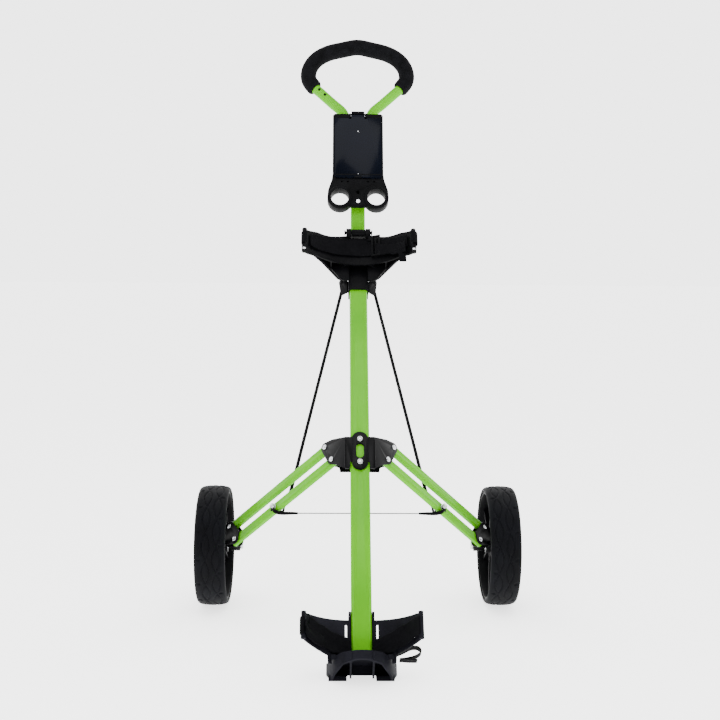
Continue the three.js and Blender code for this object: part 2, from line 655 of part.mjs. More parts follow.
function upperCradle() {
  const { radius, front, wall, tip } = CRADLE_HIGH;
  const under = 826;
  const top = 872;
  let tray = solid(upright(crescent(0), under, top, 8));
  tray = tray.subtract(solid(upright(crescent(3.5), under - 1, top - 3.5, 8)));
  for (const x of [-82, -56, 56, 82]) {
    tray = tray.add(solid(box(x - 1.3, x + 1.3, -88, 14, under + 2, top - 2)).intersect(
      solid(upright(crescent(1), under, top, 8))));
  }
  const ring = solid(upright(disc(44, 41.5), under + 2, top - 2, 14));
  tray = tray.add(ring.intersect(solid(upright(crescent(1), under, top, 8))));
  tray = tray.subtract(solid(box(-37, 37, -24, 40, under - 1, 839)));

  const bandOutline = polygon([
    [-tip - 3, 816], [-86, 826], [-40, 834], [40, 834], [86, 826], [tip + 3, 816],
    [tip + 3, 874], [tip - 4, 876], [86, 886], [60, 889], [26, 899],
    [-26, 899], [-60, 889], [-86, 886], [-tip + 4, 876], [-tip - 3, 874],
  ]);
  let band = solid(arcBand(radius, front, wall, 800, 910)).intersect(solid(facing(bandOutline, -140, 20)));
  for (const side of [-1, 1]) {
    const post = new THREE.CylinderGeometry(5, 5, 58, 12).rotateX(Math.PI / 2);
    band = band.add(solid(post.translate(side * (tip + 2), -93, 846)));
    band = band.subtract(solid(box(side * 97 - 2, side * 97 + 2, -110, -50, 832, 868)));
  }

  const side = TUBE.width / 2 + GAP;
  const back = TUBE.depth / 2 + GAP;
  const collar = roundedRect(2 * (side + 4), 2 * (back + 4.5), 8);
  let body = joined(
    tray, band,
    solid(upright(collar, 839, 900, 4)),
    solid(box(-20, 20, -39.5, -16, 866, 872)),
    solid(sideFlare(1)), solid(sideFlare(-1)),
  );
  body = body.subtract(solid(upright(roundedRect(2 * side, 2 * back, TUBE.corner), 700, 950, 3)));

  const cheek = polygon([
    [-41, 866], [-41, 893.5], [-53, 897], [-54, 908], [-51, 912], [-40, 912], [-35, 900], [-35, 866],
  ]);
  for (const sign of [-1, 1]) {
    body = body.add(solid(sideways(cheek, sign * 20 - 5, sign * 20 + 5)));
  }
  body = body.subtract(solid(box(-15, 15, -60, -24, 895, 930)));
  body = body.subtract(solid(alongX(PIN.hole, -40, 40, HINGE.y, HINGE.z)));
  piece('upper_cradle', body, BLACK);
  piece('handle_hinge_pin', joined(
    solid(alongX(PIN.radius, -28, 28, HINGE.y, HINGE.z)),
    solid(alongX(PIN.head, 26.4, 29, HINGE.y, HINGE.z)),
    solid(alongX(PIN.head, -29, -26.4, HINGE.y, HINGE.z)),
  ), STEEL);
}

function upperStrap() {
  const outline = polygon([
    [-94, 836], [-60, 842], [-20, 846], [34, 846], [34, 890], [20, 890], [-20, 892], [-60, 886], [-94, 870],
  ]);
  const tail = polygon([[44, 846], [92, 836], [92, 868], [60, 884], [44, 888]]);
  const band = solid(arcBand(133.4, -42.6, 2, 800, 910));
  const strap = band.intersect(joined(
    solid(facing(outline, -140, 0)), solid(facing(tail, -140, 0)),
    solid(facing(polygon([[30, 860], [48, 860], [48, 872], [30, 872]]), -140, 0)),
  ));
  piece('upper_strap', strap, WEBBING);
  const frame = polygon([[33, 842], [46, 842], [46, 893], [33, 893]]);
  const buckle = solid(arcBand(129, -47, 3, 800, 910)).intersect(solid(facing(frame, -140, 0)));
  piece('strap_buckle', buckle, BLACK);
}

// ---------------------------------------------------------------- handle section

function handleFitting() {
  const arm = new THREE.Shape();
  arm.absarc(EYE.y, EYE.z, EYE.radius, degrees(60), degrees(270));
  arm.lineTo(7, -9.8);
  arm.lineTo(13.8, -5.8);
  arm.lineTo(16, -5.8);
  arm.lineTo(16, 3.3);
  arm.closePath();
  let body = joined(
    solid(sideways(arm, -EYE.half, EYE.half, 6)),
    solid(upright(roundedRect(37, 29, 6), -5.8, 14.2, 4).translate(0, UPPER_TUBE.y - 1.2, 0)),
  );
  const pocket = roundedRect(UPPER_TUBE.width + 2 * GAP, UPPER_TUBE.depth + 2 * GAP, UPPER_TUBE.corner);
  const pocketCut = upright(pocket, UPPER_TUBE.bottom - GAP, 60, 3).translate(0, UPPER_TUBE.y, 0);
  body = body.subtract(solid(pocketCut));
  body = body.subtract(solid(alongX(PIN.hole, -40, 40, EYE.y, EYE.z)));
  piece('handle_fitting', body, BLACK, handle);
}

const HANDLE_BOLTS = [258, 282];

function upperTube() {
  const section = tubeSection(UPPER_TUBE.width, UPPER_TUBE.depth, UPPER_TUBE.corner, UPPER_TUBE.wall);
  let tube = solid(upright(section, UPPER_TUBE.bottom, UPPER_TUBE.top, 3).translate(0, UPPER_TUBE.y, 0));
  for (const z of HANDLE_BOLTS) {
    tube = tube.subtract(solid(alongX(2.8, -60, 60, UPPER_TUBE.y, z, 12)));
  }
  piece('upper_tube', tube, GREEN, handle);
}

// The loop's centre line from the right-hand foot over the top to the left-hand foot.
const LOOP_PATH = (() => {
  const half = [
    [26.6, 248], [26.6, 272], [26.8, 292], [33, 310], [54, 331], [78.5, 355.5], [98, 375.5],
    [107.5, 391], [109, 408], [103.5, 427], [89.5, 446], [66, 461], [34, 470.5],
  ];
  const right = half.map(([x, z]) => new THREE.Vector3(x, UPPER_TUBE.y, z));
  const left = right.map((point) => new THREE.Vector3(-point.x, point.y, point.z)).reverse();
  const crown = new THREE.Vector3(0, UPPER_TUBE.y, 477.5);
  return new THREE.CatmullRomCurve3([...right, crown, ...left], false, 'centripetal');
})();

class Stretch extends THREE.Curve {
  constructor(base, from, to) {
    super();
    Object.assign(this, { base, from, to });
  }

  getPoint(t, target = new THREE.Vector3()) {
    return this.base.getPointAt(this.from + (this.to - this.from) * t, target);
  }
}

function handleLoop() {
  const { radius, wall, steps, gripSteps } = LOOP;
  const tube = new THREE.ExtrudeGeometry(disc(radius, radius - wall), {
    steps, curveSegments: 6, extrudePath: new Stretch(LOOP_PATH, 0, 1),
  });
  let body = solid(tube);
  for (const z of HANDLE_BOLTS) {
    body = body.subtract(solid(alongX(2.8, -60, 60, UPPER_TUBE.y, z, 12)));
  }
  piece('handle_tube', body, GREEN, handle);

  const start = (steps - gripSteps) / 2 / steps;
  const grip = new THREE.ExtrudeGeometry(disc(GRIP.radius, radius + GAP + 0.1), {
    steps: gripSteps, curveSegments: 6, extrudePath: new Stretch(LOOP_PATH, start, 1 - start),
  });
  piece('handle_grip', solid(grip), FOAM, handle);

  HANDLE_BOLTS.forEach((z, i) => {
    const bolt = joined(
      solid(alongX(2.5, -40, 40, UPPER_TUBE.y, z, 12)),
      solid(alongX(4.6, 38.4, 41.4, UPPER_TUBE.y, z, 12)),
      solid(alongX(4.6, -41.4, -38.4, UPPER_TUBE.y, z, 6)),
    );
    piece(`handle_bolt_${i + 1}`, bolt, STEEL, handle);
  });
}

function scoreConsole() {
  const { half, bottom, top, front, back, ringX, ringZ } = CONSOLE;
  const outline = new THREE.Shape();
  outline.moveTo(-half, top - 4);
  outline.lineTo(-half, 142);
  outline.bezierCurveTo(-half, 120, -66, 112, -65, ringZ);
  outline.lineTo(-ringX, bottom);
  outline.lineTo(ringX, bottom);
  outline.lineTo(65, ringZ);
  outline.bezierCurveTo(66, 112, half, 120, half, 142);
  outline.lineTo(half, top - 4);
  outline.lineTo(half - 4, top);
  outline.lineTo(-half + 4, top);
  outline.closePath();
  let body = solid(facing(outline, front, 6, 4));
  for (const side of [-1, 1]) {
    const cup = facing(disc(26.6), -4, 17, 10).translate(side * ringX, 0, ringZ);
    body = body.add(solid(cup));
  }
  body = body.add(solid(box(-18, 18, 5, back, 100, 240)));
  for (const side of [-1, 1]) {
    body = body.subtract(solid(facing(disc(18.9), -30, 40, 10).translate(side * ringX, 0, ringZ)));
    for (const x of [21.5, 34.4]) {
      body = body.subtract(solid(alongY(1.9, side * x, -30, 4.5, 124, 8)));
    }
  }
  body = body.subtract(solid(box(-46, 46, -10, 2, 137, 270)));
  body = body.subtract(solid(alongY(4, 0, -10, 30, 99, 12)));
  for (const x of [-19, 15]) {
    body = body.add(solid(box(x, x + 4, -7.4, 0, 276.5, 286)));
  }
  body = body.subtract(solid(alongX(3.5, -14.9, 14.9, -4, 281.5, 12)));
  body = body.subtract(solid(alongX(1.8, -30, 30, -4, 281.5, 10)));
  body = body.subtract(solid(alongY(2.3, 0, -10, 30, 77, 10)));
  piece('console_body', body, BLACK, handle);

  piece('console_screw', joined(
    solid(alongY(2, 0, front - 1, 5, 77, 10)), solid(alongY(4, 0, front - 2.4, front - GAP, 77, 14)),
  ), STEEL, handle);
  piece('lid_pin', solid(alongX(1.5, -18.8, 18.8, -4, 281.5, 10)), STEEL, handle);
}

function cardLid() {
  const { half, bottom, top, back, front } = LID;
  const plate = new THREE.Shape();
  plate.moveTo(-half, top - 3);
  plate.lineTo(-half, bottom + 4);
  plate.lineTo(-half + 4, bottom);
  plate.lineTo(half - 4, bottom);
  plate.lineTo(half, bottom + 4);
  plate.lineTo(half, top - 3);
  plate.lineTo(20, top - 3);
  plate.lineTo(20, top - 5);
  plate.lineTo(-20, top - 5);
  plate.lineTo(-20, top - 3);
  plate.closePath();
  let body = joined(
    solid(facing(plate, front, back)),
    solid(box(-14.4, 14.4, front, back, top - 6, top + 1)),
    solid(alongX(3, -14.4, 14.4, -4, 281.5, 12)),
  );
  body = body.subtract(solid(alongX(1.8, -30, 30, -4, 281.5, 10)));
  piece('card_lid', body, SMOKED, handle);
}

// ---------------------------------------------------------------- build

mainTube();
toe();
lowerCradle();
lowerStrap();
armBrackets();
struts();
stayCable();
knuckle();
wheel();
sleeve();
rods();
upperCradle();
upperStrap();
handleFitting();
upperTube();
handleLoop();
scoreConsole();
cardLid();

// The origin is on the floor, at the middle of the trolley's box.
trolley.updateMatrixWorld(true);
const middle = new THREE.Box3().setFromObject(trolley, true).getCenter(new THREE.Vector3());
trolley.position.y = -middle.y;

export default trolley;
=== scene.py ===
"""Looks for the two-wheeled golf push trolley: materials, soft goods, small fittings, light and camera."""

import json
import math

import bmesh
import bpy
from mathutils import Matrix, Vector, noise


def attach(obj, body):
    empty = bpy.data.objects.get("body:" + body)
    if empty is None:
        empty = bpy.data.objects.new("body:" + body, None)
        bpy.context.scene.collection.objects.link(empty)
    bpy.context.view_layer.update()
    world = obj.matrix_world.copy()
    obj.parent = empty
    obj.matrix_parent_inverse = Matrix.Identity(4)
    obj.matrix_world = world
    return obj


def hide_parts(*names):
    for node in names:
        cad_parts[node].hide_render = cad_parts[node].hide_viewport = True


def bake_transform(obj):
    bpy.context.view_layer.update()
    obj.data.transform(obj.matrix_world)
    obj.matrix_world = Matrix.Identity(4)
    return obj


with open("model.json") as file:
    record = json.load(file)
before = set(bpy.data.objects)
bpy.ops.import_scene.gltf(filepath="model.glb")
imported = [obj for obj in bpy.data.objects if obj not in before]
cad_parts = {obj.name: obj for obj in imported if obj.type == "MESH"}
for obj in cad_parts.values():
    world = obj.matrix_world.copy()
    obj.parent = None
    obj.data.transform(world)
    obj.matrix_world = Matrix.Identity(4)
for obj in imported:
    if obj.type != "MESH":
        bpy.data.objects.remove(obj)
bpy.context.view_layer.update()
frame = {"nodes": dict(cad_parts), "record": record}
NODES = frame["nodes"]
MM = 0.001

# ------------------------------------------------------------------ the CAD's own frames

LEAN = math.radians(38.5)
HANDLE_BEND = math.radians(14.5)
ARM_YAW = math.radians(46.5)
ARM_DROP = math.radians(14.1)
ARM_LENGTH = 287
UPPER_PIVOT = Vector((60, 30, 436))
PIVOT_STEP = Vector((-18.3, 0, -33))
KNUCKLE_STEP = Vector((ARM_LENGTH * math.cos(ARM_DROP), 0, -ARM_LENGTH * math.sin(ARM_DROP)))
STAY_BOLT = PIVOT_STEP + 0.58 * KNUCKLE_STEP
AXLE = Vector((288, 266.3, 344.7))
WHEEL_RADIUS = 120
ROD_TOP = Vector((29.5, 20.4, 825))
SECTION = Vector((0, -30, 912))
TUBE_BACK = 19       # the tube's frame: this far behind the toe's front foot, and this far above the floor
TUBE_LIFT = 16
REST_FORWARD = 35    # the bag rest's middle in the tube's frame: forward of its origin, and up the tube
REST_UP = 12.8

BAG_REST = next(m for m in frame["record"]["mounts"] if m["name"] == "bag_rest")
FOOT_Y = BAG_REST["pos_m"][1] / MM - (TUBE_BACK - REST_FORWARD * math.cos(LEAN) + REST_UP * math.sin(LEAN))

TUBE = (Matrix.Translation((0, (FOOT_Y + TUBE_BACK) * MM, TUBE_LIFT * MM))
        @ Matrix.Rotation(-LEAN, 4, "X") @ Matrix.Scale(MM, 4))
HANDLE = TUBE @ Matrix.Translation(SECTION) @ Matrix.Rotation(HANDLE_BEND, 4, "X")


def arm(side):
    """The frame of one side's wheel arms: x outward along the struts, y behind them, z up the tube."""
    own = Matrix.Translation(UPPER_PIVOT) @ Matrix.Rotation(ARM_YAW, 4, "Z")
    flip = Matrix.Scale(-1, 4, (1, 0, 0)) if side == "left" else Matrix.Identity(4)
    return TUBE @ flip @ own


def mirror(side):
    """The tube's frame, mirrored for the left side."""
    return TUBE @ (Matrix.Scale(-1, 4, (1, 0, 0)) if side == "left" else Matrix.Identity(4))


# ------------------------------------------------------------------ materials

def linear(r, g, b):
    """An sRGB colour, 0 to 255, as the shader's linear numbers."""
    def one(c):
        c /= 255
        return c / 12.92 if c <= 0.04045 else ((c + 0.055) / 1.055) ** 2.4
    return (one(r), one(g), one(b), 1)


class Shader:
    """A Principled material with a few chained helpers."""

    def __init__(self, name, rough, metal=0.0, **sockets):
        self.material = bpy.data.materials.new(name)
        self.material.use_nodes = True
        self.tree = self.material.node_tree
        self.bsdf = self.tree.nodes["Principled BSDF"]
        self.bsdf.inputs["Roughness"].default_value = rough
        self.bsdf.inputs["Metallic"].default_value = metal
        for socket, value in sockets.items():
            self.bsdf.inputs[socket.replace("_", " ")].default_value = value
        self.coords = self.node("ShaderNodeTexCoord").outputs["Object"]
        self.normal = None

    def node(self, kind, **settings):
        made = self.tree.nodes.new(kind)
        for key, value in settings.items():
            setattr(made, key, value)
        return made

    def link(self, a, b):
        self.tree.links.new(a, b)

    def noise(self, scale, detail=4, stretch=(1, 1, 1)):
        mapping = self.node("ShaderNodeMapping")
        mapping.inputs["Scale"].default_value = stretch
        made = self.node("ShaderNodeTexNoise")
        made.inputs["Scale"].default_value = scale
        made.inputs["Detail"].default_value = detail
        self.link(self.coords, mapping.inputs["Vector"])
        self.link(mapping.outputs["Vector"], made.inputs["Vector"])
        return made.outputs["Fac"]

    def wave(self, scale, axis, phase=0.0):
        made = self.node("ShaderNodeTexWave", bands_direction=axis, wave_profile="SIN")
        made.inputs["Scale"].default_value = scale
        made.inputs["Phase Offset"].default_value = phase
        self.link(self.coords, made.inputs["Vector"])
        return made.outputs["Fac"]

    def math(self, operation, a, b):
        made = self.node("ShaderNodeMath", operation=operation)
        for socket, value in zip(made.inputs, (a, b)):
            if isinstance(value, (int, float)):
                socket.default_value = value
            else:
                self.link(value, socket)
        return made.outputs["Value"]

    def ramp(self, fac, stops):
        made = self.node("ShaderNodeValToRGB")
        elements = made.color_ramp.elements
        while len(elements) < len(stops):
            elements.new(0.5)
        for element, (place, colour) in zip(elements, stops):
            element.position = place
            element.color = colour
        self.link(fac, made.inputs["Fac"])
        return made.outputs["Color"]

    def colour(self, fac, *stops):
        self.link(self.ramp(fac, stops), self.bsdf.inputs["Base Color"])
        return self

    def roughness(self, fac, low, high):
        made = self.node("ShaderNodeMapRange")
        made.inputs["To Min"].default_value = low
        made.inputs["To Max"].default_value = high
        self.link(fac, made.inputs["Value"])
        self.link(made.outputs["Result"], self.bsdf.inputs["Roughness"])
        return self

    def bump(self, fac, depth, strength=1.0):
        """Raises the surface by up to depth metres."""
        made = self.node("ShaderNodeBump")
        made.inputs["Distance"].default_value = depth
        made.inputs["Strength"].default_value = strength
        self.link(fac, made.inputs["Height"])
        if self.normal:
            self.link(self.normal, made.inputs["Normal"])
        self.normal = made.outputs["Normal"]
        self.link(self.normal, self.bsdf.inputs["Normal"])
        return self


def powder_coat(name, dark, light):
    s = Shader(name, 0.33, 0.0, Coat_Weight=0.05, Coat_Roughness=0.12, Specular_IOR_Level=0.08)
    s.colour(s.noise(9, 3), (0.3, dark), (0.7, light))
    s.roughness(s.noise(60, 3), 0.27, 0.4)
    s.bump(s.noise(900, 2), 0.00004, 0.25)
    return s.material


def moulded_plastic(name, dark, light, rough=(0.38, 0.55), grain=1400, depth=0.00009):
    s = Shader(name, 0.45, 0.0, Specular_IOR_Level=0.035)
    s.colour(s.noise(25, 4), (0.3, dark), (0.75, light))
    s.roughness(s.noise(40, 4), *rough)
    s.bump(s.noise(grain, 3), depth, 0.6)
    return s.material


def coated_steel(name):
    s = Shader(name, 0.35, 0.0, Coat_Weight=0.02, Coat_Roughness=0.2, Specular_IOR_Level=0.07)
    s.colour(s.noise(30, 4), (0.3, linear(2, 2, 3)), (0.75, linear(6, 6, 8)))
    s.roughness(s.noise(120, 4), 0.3, 0.46)
    s.bump(s.noise(700, 2), 0.00005, 0.4)
    return s.material


def plated_steel(name, dark=linear(168, 170, 173), light=linear(214, 216, 218)):
    s = Shader(name, 0.25, 1.0)
    s.colour(s.noise(90, 4), (0.3, dark), (0.7, light))
    s.roughness(s.noise(300, 3, (1, 1, 6)), 0.16, 0.36)
    s.bump(s.noise(1200, 2), 0.00003, 0.4)
    return s.material


def rubber(name):
    s = Shader(name, 0.75, 0.0, Specular_IOR_Level=0.06)
    s.colour(s.noise(18, 5), (0.3, linear(4, 4, 6)), (0.7, linear(10, 11, 15)))
    s.roughness(s.noise(70, 4), 0.55, 0.8)
    s.bump(s.noise(900, 3), 0.0001, 0.6)
    return s.material


def foam(name):
    s = Shader(name, 0.9, 0.0, Specular_IOR_Level=0.05)
    s.colour(s.noise(70, 5), (0.3, linear(5, 5, 6)), (0.7, linear(14, 14, 17)))
    s.roughness(s.noise(200, 4), 0.75, 0.95)
    cells = s.node("ShaderNodeTexVoronoi")
    cells.inputs["Scale"].default_value = 1100
    s.link(s.coords, cells.inputs["Vector"])
    s.bump(cells.outputs["Distance"], 0.00015, 0.7)
    return s.material


def webbing(name):
    s = Shader(name, 0.85, 0.0, Specular_IOR_Level=0.04)
    ribs = s.math("MULTIPLY", s.wave(260, "X"), s.wave(180, "Z"))
    s.colour(s.math("ADD", s.math("MULTIPLY", ribs, 0.7), s.math("MULTIPLY", s.noise(60, 4), 0.4)),
             (0.1, linear(2, 2, 3)), (0.9, linear(14, 14, 17)))
    s.roughness(s.noise(150, 3), 0.7, 0.9)
    s.bump(ribs, 0.00025, 0.8)
    return s.material


def smoked_lid(name):
    s = Shader(name, 0.14, 0.0, Coat_Weight=0.02, Coat_Roughness=0.06, Specular_IOR_Level=0.04)
    s.colour(s.noise(7, 2), (0.3, linear(5, 7, 14)), (0.7, linear(8, 11, 21)))
    s.roughness(s.noise(35, 3), 0.1, 0.2)
    s.bump(s.noise(25, 1), 0.00008, 0.3)
    return s.material


GREEN = powder_coat("powder_coat", linear(74, 154, 0), linear(84, 166, 0))
PLASTIC = moulded_plastic("moulded_plastic", linear(3, 3, 4), linear(10, 10, 12))
TOE_PLASTIC = moulded_plastic("toe_plastic", linear(11, 11, 15), linear(24, 24, 30), (0.52, 0.68))
STEEL_BLACK = coated_steel("coated_steel")
ZINC = plated_steel("plated_steel")
WIRE = plated_steel("cable_wire", linear(70, 71, 74), linear(105, 106, 110))
TYRE = rubber("tyre_rubber")
FOAM = foam("grip_foam")
WEBBING = webbing("webbing")
LID = smoked_lid("smoked_lid")

FINISH = {"green": GREEN, "plastic": PLASTIC, "black_steel": STEEL_BLACK, "zinc": ZINC,
          "tyre": TYRE, "grip": FOAM, "webbing": WEBBING, "lid": LID}

# ------------------------------------------------------------------ the CAD nodes that stay

def dress(node, material, edge=0.4, angle=35):
    """A finish, softened edges and smooth curved faces."""
    obj = NODES[node]
    obj.data.materials.clear()
    obj.data.materials.append(material)
    for polygon in obj.data.polygons:
        polygon.material_index = 0
    weld = obj.modifiers.new("weld", "WELD")
    weld.merge_threshold = 1e-5
    if edge:
        bevel = obj.modifiers.new("edges", "BEVEL")
        bevel.width = edge * MM
        bevel.segments = 2
        bevel.limit_method = "ANGLE"
        bevel.angle_limit = math.radians(angle)
        bevel.use_clamp_overlap = True
        bevel.harden_normals = False
    smooth(obj, angle)


def smooth(obj, angle=35):
    """Smooth faces, with hard edges where they meet at more than the angle."""
    for polygon in obj.data.polygons:
        polygon.use_smooth = True
    split = obj.modifiers.new("hard edges", "EDGE_SPLIT")
    split.split_angle = math.radians(angle)


SLOT_OF = {p["node"]: p["material_slot"] for p in frame["record"]["subparts"]}
SHARP = {"stay_cable", "lid_pin", "console_screw", "lock_lever_pin"}
for name in NODES:
    dress(name, FINISH[SLOT_OF[name]], 0 if name in SHARP else 0.4)
for name in ("base_toe", "lower_cradle"):
    NODES[name].data.materials[0] = TOE_PLASTIC
for name in ("right_rod_pin", "left_rod_pin", "handle_hinge_pin"):
    NODES[name].data.materials[0] = STEEL_BLACK

# ------------------------------------------------------------------ making pieces

def add(name, mesh, material, body, matrix=Matrix.Identity(4)):
    """A piece from a mesh in millimetres of some frame. It rides on the body, unless body is None."""
    obj = bpy.data.objects.new(name, mesh)
    bpy.context.scene.collection.objects.link(obj)
    mesh.transform(matrix)
    if matrix.determinant() < 0:
        mesh.flip_normals()
    mesh.materials.append(material)
    if body:
        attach(obj, body)
    return obj


def mesh_of(verts, faces):
    mesh = bpy.data.meshes.new("piece")
    mesh.from_pydata([Vector(v) for v in verts], [], faces)
    mesh.update()
    return mesh


def reshaped(mesh, step=None):
    """The mesh after one bmesh step, with its faces turned outward."""
    work = bmesh.new()
    work.from_mesh(mesh)
    if step:
        step(work)
    bmesh.ops.recalc_face_normals(work, faces=work.faces[:])
    work.to_mesh(mesh)
    work.free()
    return mesh


def spline(points, per_span=8):
    """Points along a centripetal Catmull-Rom curve."""
    pts = [Vector(p) for p in points]
    ends = [2 * pts[0] - pts[1], *pts, 2 * pts[-1] - pts[-2]]
    out = []
    for p0, p1, p2, p3 in zip(ends, ends[1:], ends[2:], ends[3:]):
        t1 = (p1 - p0).length ** 0.5
        t2 = t1 + (p2 - p1).length ** 0.5
        t3 = t2 + (p3 - p2).length ** 0.5
        for i in range(per_span):
            t = t1 + (t2 - t1) * i / per_span
            a1 = p0.lerp(p1, t / t1)
            a2 = p1.lerp(p2, (t - t1) / (t2 - t1))
            a3 = p2.lerp(p3, (t - t2) / (t3 - t2))
            b1 = a1.lerp(a2, t / t2)
            b2 = a2.lerp(a3, (t - t1) / (t3 - t1))
            out.append(b1.lerp(b2, (t - t1) / (t2 - t1)))
    return out + [pts[-1]]


def pipe(points, radius, sides=24):
    """A closed round bar along points; radius is a number or a function of the fraction along it."""
    size = radius if callable(radius) else lambda t: radius
    verts, faces = [], []
    normal = None
    for i, point in enumerate(points):
        ahead = points[min(i + 1, len(points) - 1)]
        behind = points[max(i - 1, 0)]
        tangent = (ahead - behind).normalized()
        if normal is None:
            normal = tangent.orthogonal().normalized()
        normal = (normal - tangent * normal.dot(tangent)).normalized()
        other = tangent.cross(normal)
        r = size(i / (len(points) - 1))
        for k in range(sides):
            a = 2 * math.pi * k / sides
            verts.append(point + r * (math.cos(a) * normal + math.sin(a) * other))
    for i in range(len(points) - 1):
        for k in range(sides):
            a, b = i * sides + k, i * sides + (k + 1) % sides
            faces.append((a, b, b + sides, a + sides))
    last = (len(points) - 1) * sides
    faces.append(tuple(reversed(range(sides))))
    faces.append(tuple(last + k for k in range(sides)))
    return mesh_of(verts, faces)


def turned(profile, sides=32):
    """A solid turned about +Y from (radius, y) points; radius 0 closes it."""
    verts, faces, rings = [], [], []
    for radius, y in profile:
        if radius < 1e-6:
            rings.append([len(verts)])
            verts.append((0, y, 0))
        else:
            rings.append(list(range(len(verts), len(verts) + sides)))
            around = [2 * math.pi * k / sides for k in range(sides)]
            verts += [(radius * math.cos(a), y, radius * math.sin(a)) for a in around]
    for low, high in zip(rings, rings[1:]):
        for k in range(sides):
            n = (k + 1) % sides
            if len(low) == 1:
                faces.append((low[0], high[k], high[n]))
            elif len(high) == 1:
                faces.append((low[k], high[0], low[n]))
            else:
                faces.append((low[k], high[k], high[n], low[n]))
    return mesh_of(verts, faces)


def ribbon(rows, thickness):
    """A strap from rows of points across its width, given that thickness."""
    across = len(rows[0])
    verts = [p for row in rows for p in row]
    faces = [(i * across + j, i * across + j + 1, (i + 1) * across + j + 1, (i + 1) * across + j)
             for i in range(len(rows) - 1) for j in range(across - 1)]
    return reshaped(mesh_of(verts, faces),
                    lambda work: bmesh.ops.solidify(work, geom=work.faces[:], thickness=thickness))


def soften(obj):
    """One level of subdivision, for cloth."""
    sub = obj.modifiers.new("subdivision", "SUBSURF")
    sub.levels = 1
    sub.render_levels = 1
    for polygon in obj.data.polygons:
        polygon.use_smooth = True


# ------------------------------------------------------------------ handle loop and grip

def loop_path():
    half = [(26.6, 248), (26.6, 272), (26.8, 292), (33, 310), (54, 331), (78.5, 355.5), (98, 375.5),
            (107.5, 391), (109, 408), (103.5, 427), (89.5, 446), (66, 461), (34, 470.5)]
    right = [(x, 30, z) for x, z in half]
    left = [(-x, 30, z) for x, z in reversed(half)]
    return spline([*right, (0, 30, 477.5), *left], 6)


LOOP_RADIUS = 11
LOOP = loop_path()
tube_loop = add("loop_tube", pipe(LOOP, LOOP_RADIUS, 28), GREEN, "handle", HANDLE)
smooth(tube_loop)
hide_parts("handle_tube")


def stretch(points, start, end, count):
    """Evenly spaced points between two fractions of a path's length."""
    lengths = [0.0]
    for a, b in zip(points, points[1:]):
        lengths.append(lengths[-1] + (b - a).length)
    out = []
    for i in range(count + 1):
        at = lengths[-1] * (start + (end - start) * i / count)
        k = min(len(points) - 2, max(j for j in range(len(points)) if lengths[j] <= at + 1e-9))
        out.append(points[k].lerp(points[k + 1], (at - lengths[k]) / (lengths[k + 1] - lengths[k])))
    return out


GRIP_RADIUS = 17.3
GRIP_START = 8 / 36      # the bare part of the loop at each end


def grip_radius(t):
    """The foam's rounded ends."""
    from_end = min(t, 1 - t) * 75
    return GRIP_RADIUS * (0.84 + 0.16 * min(1, from_end) ** 0.5)


grip = add("foam_grip", pipe(stretch(LOOP, GRIP_START, 1 - GRIP_START, 150), grip_radius, 36), FOAM,
           "handle", HANDLE)
smooth(grip, 50)
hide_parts("handle_grip")

# ------------------------------------------------------------------ push rods and pins

def domed(radius, height):
    """Half the outline of a rivet head."""
    return [(radius, 0), (radius, height * 0.3), (radius * 0.86, height * 0.72),
            (radius * 0.55, height * 0.94), (0, height)]


FACE_FRONT = Matrix.Rotation(math.pi, 4, "X")


def head(name, place, matrix, body, radius=5, height=2.2, socket=False):
    """A domed rivet head on a plate, facing -y of its frame; a socket makes it a cap screw."""
    dome = domed(radius, height)
    if socket:
        key = radius * 0.45
        floor = height * 0.25
        dome = [*dome[:3], (radius * 0.62, height * 0.92), (key, height), (key, floor), (0, floor)]
    mesh = turned([(0, 0), *dome], 28)
    obj = add(name, mesh, ZINC, body, matrix @ Matrix.Translation(place) @ FACE_FRONT)
    smooth(obj, 50)


ROD_RADIUS = 3.4
ROD_PLANE = 13.7         # how far the rod lies behind the struts
EYE = [(3.3, -1.7), (6.3, -1.7), (6.6, -1.2), (6.6, 1.2), (6.3, 1.7), (3.3, 1.7), (3.3, -1.7)]
PLATE_FRONT = 8.3

for side in ("right", "left"):
    own = arm(side)
    top = Vector(((ROD_TOP - UPPER_PIVOT).x, (ROD_TOP - UPPER_PIVOT).y, 0))
    out = top.x * math.cos(ARM_YAW) + top.y * math.sin(ARM_YAW)
    behind = top.y * math.cos(ARM_YAW) - top.x * math.sin(ARM_YAW)
    up = ROD_TOP.z - UPPER_PIVOT.z
    knee = Vector((STAY_BOLT.x - 22, ROD_PLANE, STAY_BOLT.z + 26))
    foot = Vector((STAY_BOLT.x, ROD_PLANE, STAY_BOLT.z))
    start = Vector((out, behind, up))
    run = [start.lerp(knee, t) for t in (0.012, 0.25, 0.5, 0.75, 0.97)]
    run += [knee.lerp(foot, t) for t in (0.15, 0.5, 0.84)]
    rod = add(side + "_push_rod", pipe(spline(run, 5), ROD_RADIUS, 20), STEEL_BLACK,
              side + "_push_rod", own)
    smooth(rod, 50)
    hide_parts(side + "_rod")
    for end, place in (("top", start), ("foot", foot)):
        obj = add(f"{side}_rod_eye_{end}", turned(EYE, 28), STEEL_BLACK, side + "_push_rod",
                  own @ Matrix.Translation(place))
        smooth(obj, 40)
    for label, place, body in (("upper", Vector((0, 0, 0)), "frame"), ("lower", PIVOT_STEP, "frame"),
                               ("knuckle_upper", KNUCKLE_STEP, side + "_knuckle"),
                               ("knuckle_lower", KNUCKLE_STEP + PIVOT_STEP, side + "_knuckle")):
        front = place + Vector((0, -PLATE_FRONT, 0))
        head(f"{side}_{label}_rivet", front, own, body, 5.1, 2.4)

# ------------------------------------------------------------------ tyres

